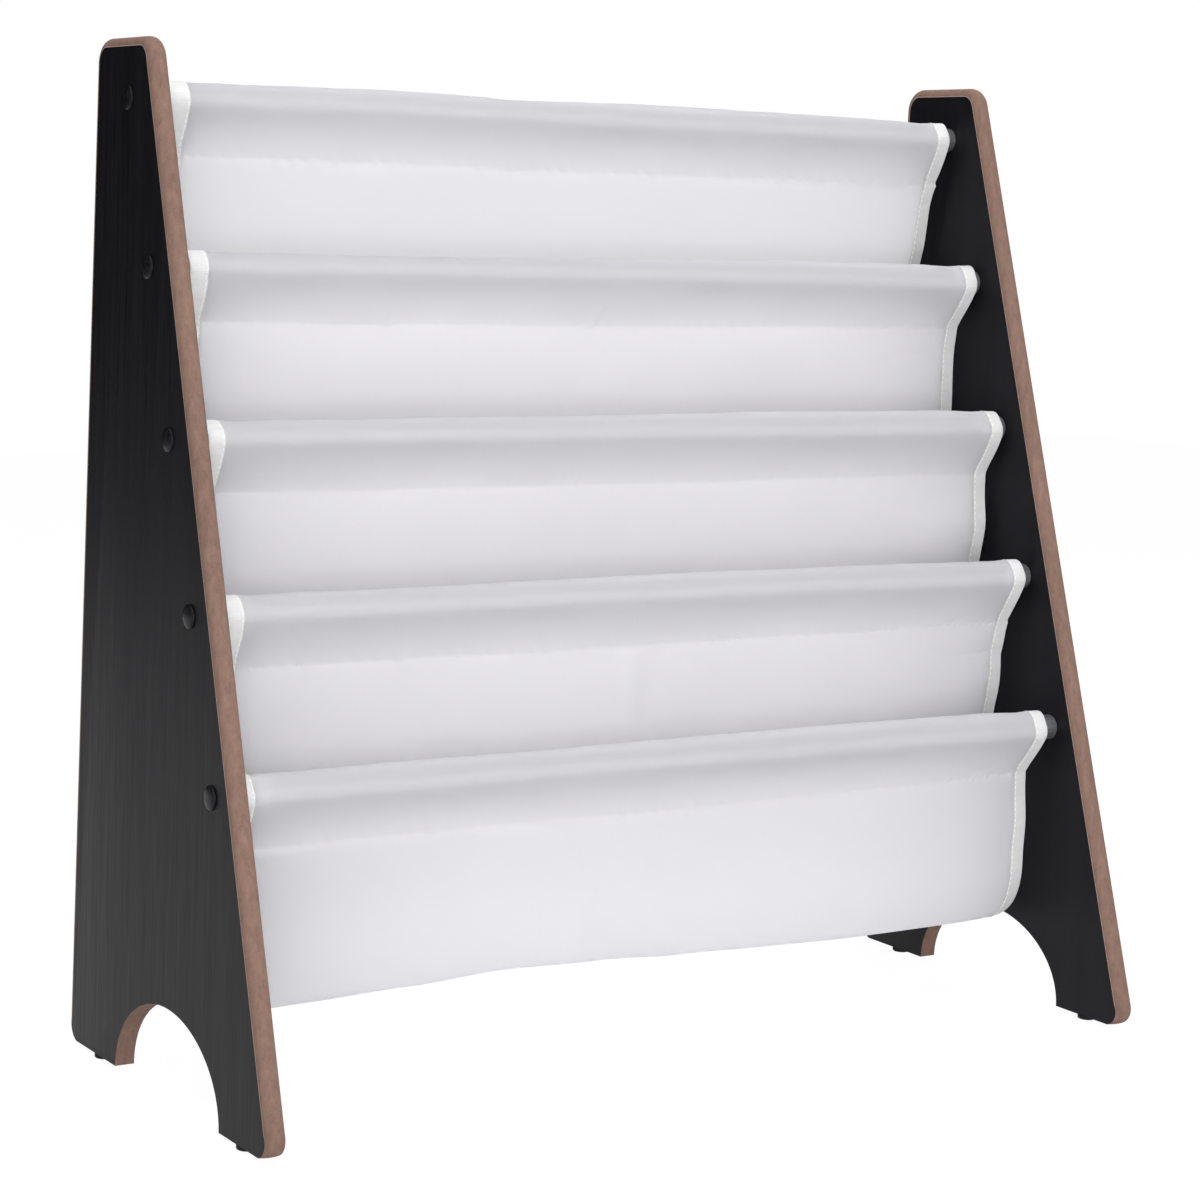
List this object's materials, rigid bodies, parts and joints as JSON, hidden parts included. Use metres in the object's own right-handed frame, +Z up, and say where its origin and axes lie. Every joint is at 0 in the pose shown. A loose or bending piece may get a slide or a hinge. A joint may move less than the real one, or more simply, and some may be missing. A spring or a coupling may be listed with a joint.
{
  "type": "children's sling bookshelf",
  "caption": "Low bookshelf for children: dark board side panels with arched feet, joined by a sloping row of steel rods that carry a pale cloth sling with open book pockets.",
  "frame": {"origin": "on the floor, under the middle of the shelf's overall width and depth", "axes": "+Z up; the front of the shelf faces -Y; +X to the right of someone facing it"},
  "size_m": [0.6206, 0.2744, 0.605],
  "materials": {
    "board": "black wood-grain faced board with raw brown edges, satin",
    "rod": "plain steel tube, satin",
    "insert": "moulded, matt",
    "bolt": "zinc plated",
    "cap": "moulded, satin black",
    "glide": "moulded, satin black",
    "cloth": "plain weave, off-white, with white binding tape along both side edges"
  },
  "bodies": {
    "root": {"left_side_panel": "board", "rod_insert_left_1": "insert", "rod_bolt_left_1": "bolt", "bolt_cap_left_1": "cap", "rod_insert_left_2": "insert", "rod_bolt_left_2": "bolt", "bolt_cap_left_2": "cap", "rod_insert_left_3": "insert", "rod_bolt_left_3": "bolt", "bolt_cap_left_3": "cap", "rod_insert_left_4": "insert", "rod_bolt_left_4": "bolt", "bolt_cap_left_4": "cap", "rod_insert_left_5": "insert", "rod_bolt_left_5": "bolt", "bolt_cap_left_5": "cap", "glide_front_left": "glide", "glide_back_left": "glide", "right_side_panel": "board", "rod_insert_right_1": "insert", "rod_bolt_right_1": "bolt", "bolt_cap_right_1": "cap", "rod_insert_right_2": "insert", "rod_bolt_right_2": "bolt", "bolt_cap_right_2": "cap", "rod_insert_right_3": "insert", "rod_bolt_right_3": "bolt", "bolt_cap_right_3": "cap", "rod_insert_right_4": "insert", "rod_bolt_right_4": "bolt", "bolt_cap_right_4": "cap", "rod_insert_right_5": "insert", "rod_bolt_right_5": "bolt", "bolt_cap_right_5": "cap", "glide_front_right": "glide", "glide_back_right": "glide", "rod_1": "rod", "sling_sleeve_1": "cloth", "rod_2": "rod", "sling_sleeve_2": "cloth", "rod_3": "rod", "sling_sleeve_3": "cloth", "rod_4": "rod", "sling_sleeve_4": "cloth", "rod_5": "rod", "sling_sleeve_5": "cloth", "sling_pocket_1": "cloth", "sling_pocket_2": "cloth", "sling_pocket_3": "cloth", "sling_pocket_4": "cloth"}
  },
  "joints": []
}
